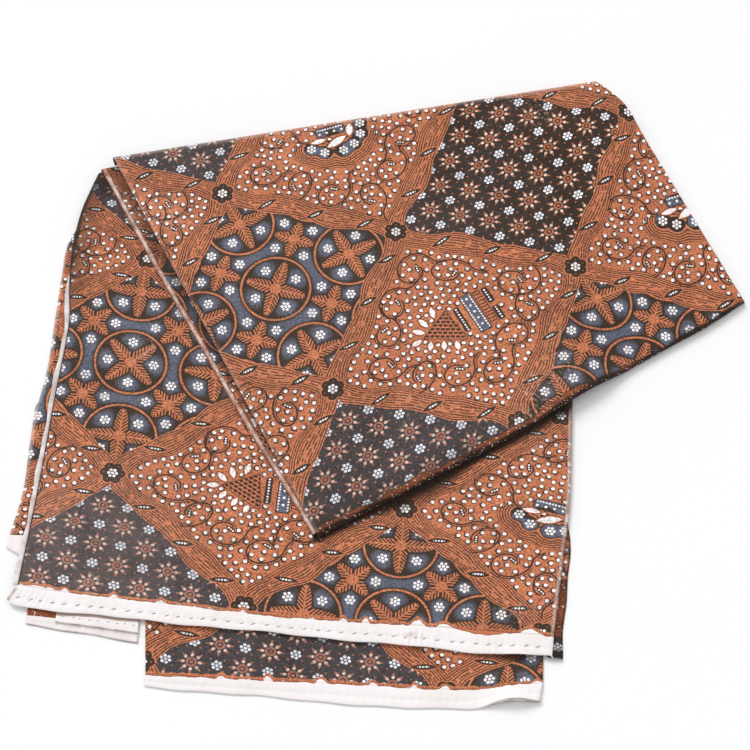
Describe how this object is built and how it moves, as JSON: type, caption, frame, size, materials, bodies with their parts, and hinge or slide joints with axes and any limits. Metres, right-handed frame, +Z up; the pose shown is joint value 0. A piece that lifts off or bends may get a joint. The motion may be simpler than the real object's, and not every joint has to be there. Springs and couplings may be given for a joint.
{
  "type": "folded batik sarong cloth",
  "caption": "Printed cotton sarong cloth lying flat, folded lengthwise and folded over once on a slant, with undyed hems.",
  "frame": {"origin": "bottom centre of the folded cloth, on the surface that it lies on", "axes": "+Z up from the surface, +X to the right and +Y away from the hems"},
  "size_m": [0.777, 0.7798, 0.0173],
  "materials": {
    "printed_cotton": "dyed cotton with a wax-resist print in brown, charcoal, slate blue and white",
    "undyed_cotton": "undyed white cotton, turned and hand stitched"
  },
  "bodies": {
    "root": {"front_panel": "printed_cotton", "front_hem": "undyed_cotton", "side_hem": "undyed_cotton", "second_panel": "printed_cotton", "second_hem": "undyed_cotton", "right_fold": "printed_cotton", "block_core": "printed_cotton", "inner_panel": "printed_cotton", "inner_hem_lower": "undyed_cotton", "inner_hem_upper": "undyed_cotton", "back_panel": "printed_cotton", "back_hem": "undyed_cotton", "flap_panel": "printed_cotton", "flap_under": "printed_cotton", "flap_core": "printed_cotton"}
  },
  "joints": []
}
